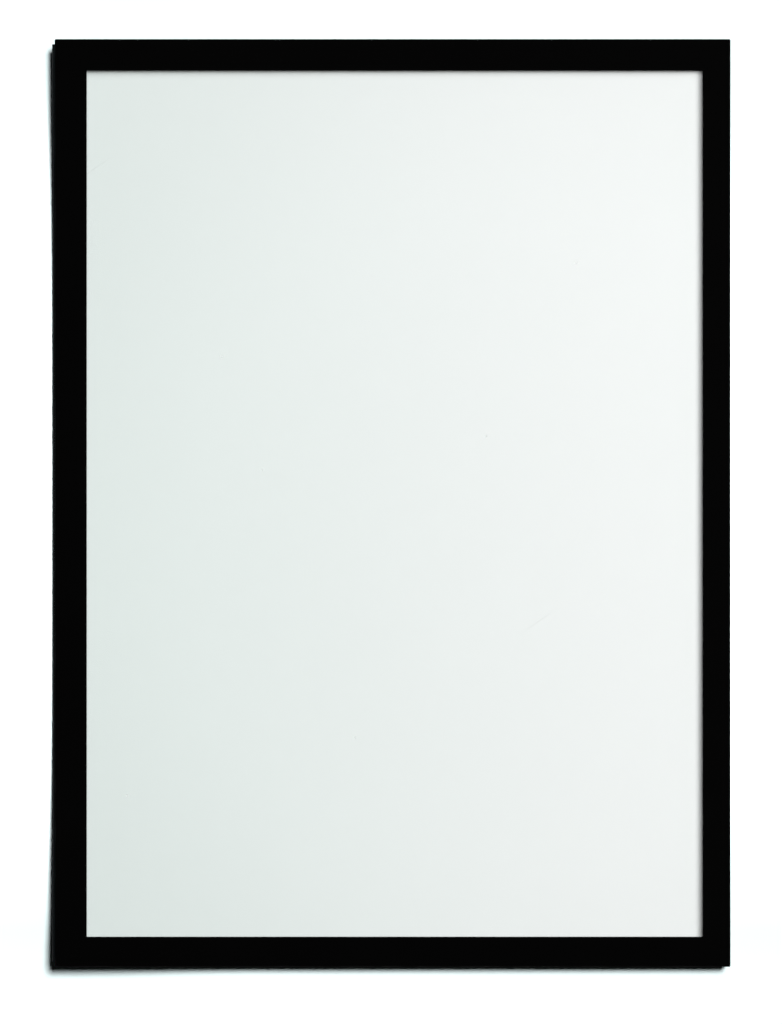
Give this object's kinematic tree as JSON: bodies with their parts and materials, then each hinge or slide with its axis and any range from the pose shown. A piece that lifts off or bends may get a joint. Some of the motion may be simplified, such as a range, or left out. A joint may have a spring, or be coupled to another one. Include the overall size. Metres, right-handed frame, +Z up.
{
  "type": "magnetic photo frame",
  "caption": "Thin portrait frame with a black border and a recessed clear window; the cover folds open on a film hinge and magnetic strips hold it shut and to steel.",
  "frame": {"origin": "centre of the black facing's outline, on the plane of the rear magnetic strips, which lies against the steel surface", "axes": "+Z up along the long side, +X to the viewer's right, +Y out of the back towards the steel surface"},
  "size_m": [0.1378, 0.0022, 0.1886],
  "materials": {
    "black_facing": "matt black embossed film",
    "hinge_plastic": "matt black flexible film",
    "magnet_rubber": "matt dark brown flexible magnet",
    "clear_film": "clear, slightly hazy",
    "white_card": "matt, blank",
    "white_sheet": "satin white",
    "adhesive_tape": "milky adhesive"
  },
  "bodies": {
    "rear_leaf": {"rear_magnet_left": "magnet_rubber", "rear_magnet_right": "magnet_rubber", "rear_magnet_top": "magnet_rubber", "rear_magnet_bottom": "magnet_rubber", "rear_tape_right": "adhesive_tape", "rear_tape_top": "adhesive_tape", "rear_tape_bottom": "adhesive_tape", "rear_sheet": "white_sheet", "hinge_film": "hinge_plastic"},
    "cover": {"window_film": "clear_film", "film_tape_left": "adhesive_tape", "film_tape_right": "adhesive_tape", "film_tape_top": "adhesive_tape", "film_tape_bottom": "adhesive_tape", "cover_magnet_left": "magnet_rubber", "cover_magnet_right": "magnet_rubber", "cover_magnet_top": "magnet_rubber", "cover_magnet_bottom": "magnet_rubber", "border_tape_right": "adhesive_tape", "border_tape_top": "adhesive_tape", "border_tape_bottom": "adhesive_tape", "front_border": "black_facing"},
    "card": {"insert_card": "white_card"}
  },
  "joints": [
    {"name": "cover_hinge", "type": "hinge", "parent": "rear_leaf", "child": "cover", "pos_m": [-0.06935, -0.00122, 0], "axis": [0, 0, -1], "range_deg": [0, 180], "deforming": ["hinge_film"]},
    {"name": "card_slide", "type": "slide", "parent": "rear_leaf", "child": "card", "axis": [0, 0, 1], "range_m": [0, 0.19]}
  ]
}
